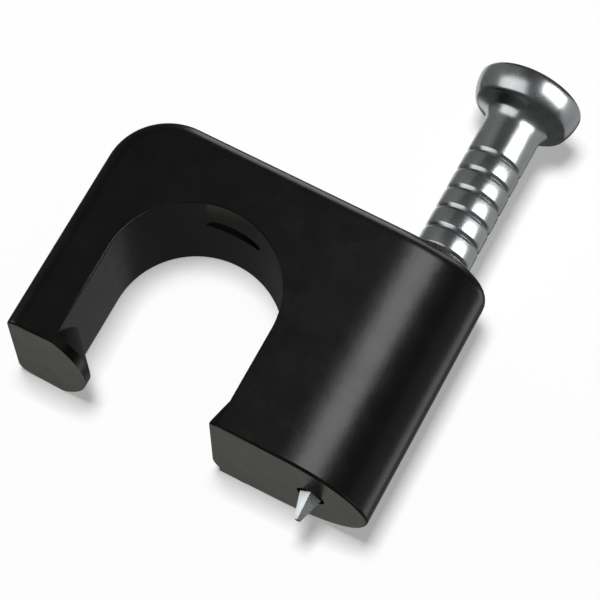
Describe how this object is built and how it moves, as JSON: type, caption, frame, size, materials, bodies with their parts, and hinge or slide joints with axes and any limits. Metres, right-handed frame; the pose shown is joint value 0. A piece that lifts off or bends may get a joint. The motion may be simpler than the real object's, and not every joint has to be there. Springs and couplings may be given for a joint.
{
  "type": "nail-in cable clip",
  "caption": "Moulded plastic cable clip: a hook arches over the cable beside a round boss, which carries a ring-grip steel nail that fixes it to a wall.",
  "frame": {"origin": "on the nail's axis, in the wall plane that the clip's foot and boss stand on", "axes": "+Z along the nail from the wall to its head; the hook reaches out towards -X; the cable lies along Y"},
  "size_m": [0.0158, 0.0056, 0.0211],
  "materials": {
    "black_plastic": "moulded satin black",
    "zinc_steel": "bright zinc plate"
  },
  "bodies": {
    "root": {"clip_body": "black_plastic", "nail": "zinc_steel"}
  },
  "joints": []
}
